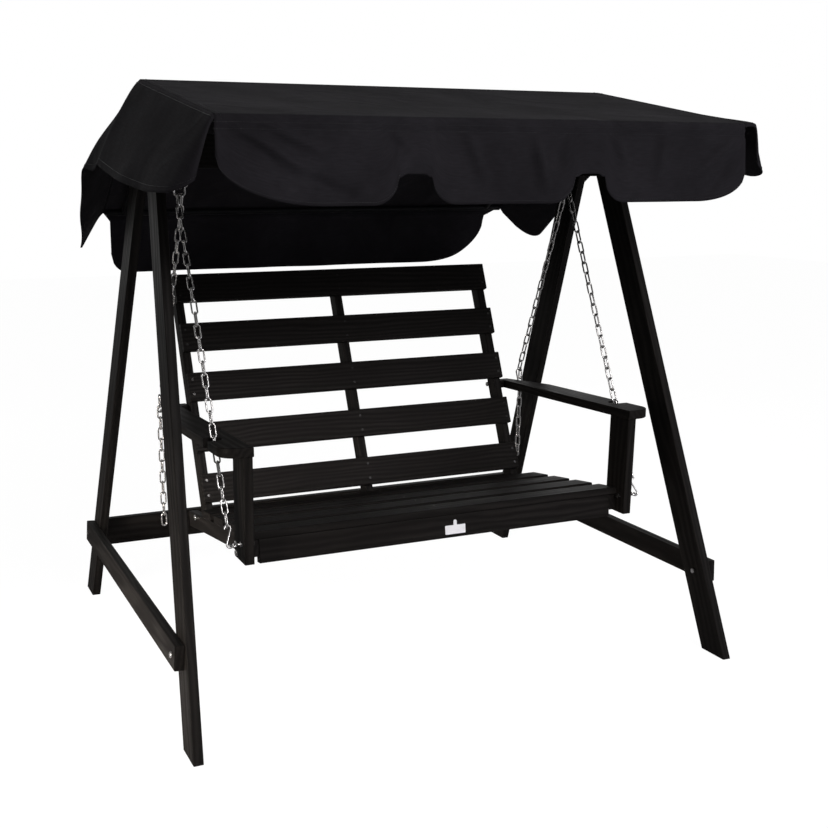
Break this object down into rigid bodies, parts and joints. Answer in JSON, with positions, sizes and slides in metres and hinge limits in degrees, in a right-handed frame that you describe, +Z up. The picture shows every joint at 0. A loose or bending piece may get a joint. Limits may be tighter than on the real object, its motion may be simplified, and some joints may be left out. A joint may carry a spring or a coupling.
{
  "type": "porch swing",
  "caption": "Wooden A-frame porch swing: a slatted bench with armrests hangs on chains from a top beam, under a tilting cloth canopy with scalloped edges.",
  "frame": {"origin": "floor level, middle of the four feet", "axes": "+X to the sitter's left along the bench, which is to the right of a person facing the swing; +Y to the back; +Z up"},
  "size_m": [1.7774, 1.4338, 1.7427],
  "materials": {
    "stained_wood": "black stain, satin",
    "zinc_steel": "zinc plated",
    "black_tube": "black powder coat",
    "canopy_cloth": "woven black cloth",
    "silver_plate": "satin"
  },
  "bodies": {
    "stand": {"leg_front_left": "stained_wood", "leg_front_right": "stained_wood", "leg_rear_left": "stained_wood", "leg_rear_right": "stained_wood", "stretcher_left": "stained_wood", "stretcher_right": "stained_wood", "rear_cross_rail": "stained_wood", "apex_gusset_left": "stained_wood", "apex_gusset_right": "stained_wood", "top_beam": "stained_wood", "pivot_plates": "zinc_steel", "stand_fasteners": "zinc_steel", "hanger_eyes": "zinc_steel"},
    "canopy": {"canopy_arm_front_left": "black_tube", "canopy_arm_front_right": "black_tube", "canopy_arm_rear_left": "black_tube", "canopy_arm_rear_right": "black_tube", "canopy_top": "canopy_cloth", "front_tube": "black_tube", "rear_tube": "black_tube", "ridge_tube": "black_tube", "side_flap_front_left": "canopy_cloth", "side_flap_front_right": "canopy_cloth", "side_flap_rear_left": "canopy_cloth", "side_flap_rear_right": "canopy_cloth", "valance_front": "canopy_cloth", "valance_rear": "canopy_cloth"},
    "swing": {"arm_post_left": "stained_wood", "arm_post_right": "stained_wood", "arm_spacers": "stained_wood", "armrest_left": "stained_wood", "armrest_right": "stained_wood", "back_post_centre": "stained_wood", "back_post_left": "stained_wood", "back_post_right": "stained_wood", "back_slat_1": "stained_wood", "back_slat_2": "stained_wood", "back_slat_3": "stained_wood", "back_slat_4": "stained_wood", "back_slat_5": "stained_wood", "bare_plate": "silver_plate", "eye_bolts": "zinc_steel", "front_chains": "zinc_steel", "rear_chains": "zinc_steel", "s_hooks": "zinc_steel", "seat_bearer": "stained_wood", "seat_fasteners": "zinc_steel", "seat_front_rail": "stained_wood", "seat_rail_left": "stained_wood", "seat_rail_right": "stained_wood", "seat_rear_rail": "stained_wood", "seat_slat_1": "stained_wood", "seat_slat_2": "stained_wood", "seat_slat_3": "stained_wood", "seat_slat_4": "stained_wood", "shackles": "zinc_steel", "slat_screws": "zinc_steel"},
    "tail_left": {"chain_tail_left": "zinc_steel"},
    "tail_right": {"chain_tail_right": "zinc_steel"}
  },
  "joints": [
    {"name": "swing", "type": "hinge", "parent": "stand", "child": "swing", "pos_m": [0, 0, 1.45289], "axis": [1, 0, 0], "range_deg": [-20, 20]},
    {"name": "canopy_tilt", "type": "hinge", "parent": "stand", "child": "canopy", "pos_m": [0, 0, 1.72789], "axis": [1, 0, 0], "range_deg": [0, 22]},
    {"name": "tail_left", "type": "hinge", "parent": "swing", "child": "tail_left", "pos_m": [-0.68192, 0.27002, 0.75044], "axis": [1, 0, 0], "range_deg": [-15, 15]},
    {"name": "tail_right", "type": "hinge", "parent": "swing", "child": "tail_right", "pos_m": [0.68192, 0.27002, 0.75044], "axis": [1, 0, 0], "range_deg": [-15, 15]}
  ]
}
